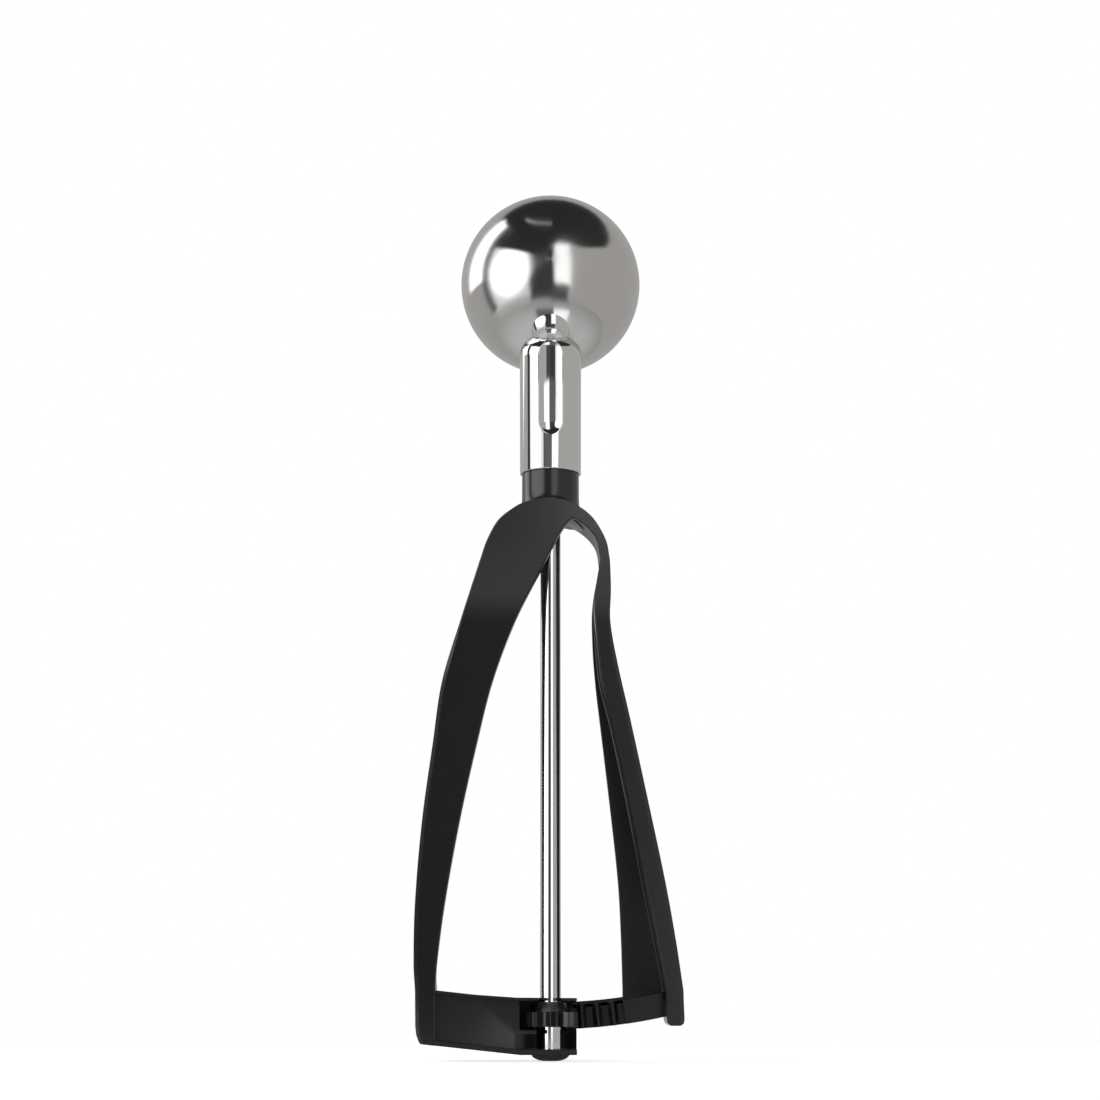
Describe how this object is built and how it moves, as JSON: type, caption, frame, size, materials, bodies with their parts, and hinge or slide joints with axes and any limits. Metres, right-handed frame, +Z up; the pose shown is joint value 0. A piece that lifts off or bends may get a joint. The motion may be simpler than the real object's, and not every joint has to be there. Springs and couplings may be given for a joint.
{
  "type": "lever ice cream scoop",
  "caption": "Portion scoop with a spun round bowl, a scraper blade turned by a rod and pinion, and a sprung bow handle whose moving arm carries the rack.",
  "frame": {"origin": "middle of the small flat under the bearing cap, on the rod's axis", "axes": "+Z up the rod to the bowl, +Y towards the bowl's open side, +X towards the squeezed arm"},
  "size_m": [0.0636, 0.0323, 0.2128],
  "materials": {
    "bowl_steel": "spun and polished, with a fine lathe grain round the bowl's pole",
    "blade_steel": "satin sheet steel",
    "ferrule_chrome": "bright, with faint drawing marks along its length",
    "rod_steel": "bright drawn rod",
    "bush_brass": "turned",
    "handle_black": "satin moulded black",
    "pinion_black": "semi-gloss moulded black",
    "cap_grey": "satin dark grey"
  },
  "bodies": {
    "frame": {"handle_crown": "handle_black", "handle_collar": "handle_black", "palm_arm": "handle_black", "rack_housing": "handle_black", "bearing_cap": "cap_grey", "ferrule": "ferrule_chrome", "bowl": "bowl_steel", "bowl_bush": "bush_brass", "tip_rivet": "blade_steel", "tip_washer": "blade_steel"},
    "lever": {"lever_root": "handle_black", "squeeze_arm": "handle_black", "rack": "handle_black"},
    "spindle": {"spindle_rod": "rod_steel", "pinion": "pinion_black", "scraper_blade": "blade_steel", "blade_washer": "blade_steel"}
  },
  "joints": [
    {"name": "lever_squeeze", "type": "hinge", "parent": "frame", "child": "lever", "pos_m": [0, 0, 0.1344], "axis": [0, 1, 0], "range_deg": [0, 6.5], "stiffness_Nm_per_rad": 6},
    {"name": "blade_turn", "type": "hinge", "parent": "frame", "child": "spindle", "pos_m": [0, 0, 0.00965], "axis": [0, 0, 1], "range_deg": [0, 151]}
  ],
  "couplings": [
    {"joint": "blade_turn", "follows": "lever_squeeze", "ratio": 23.102}
  ]
}
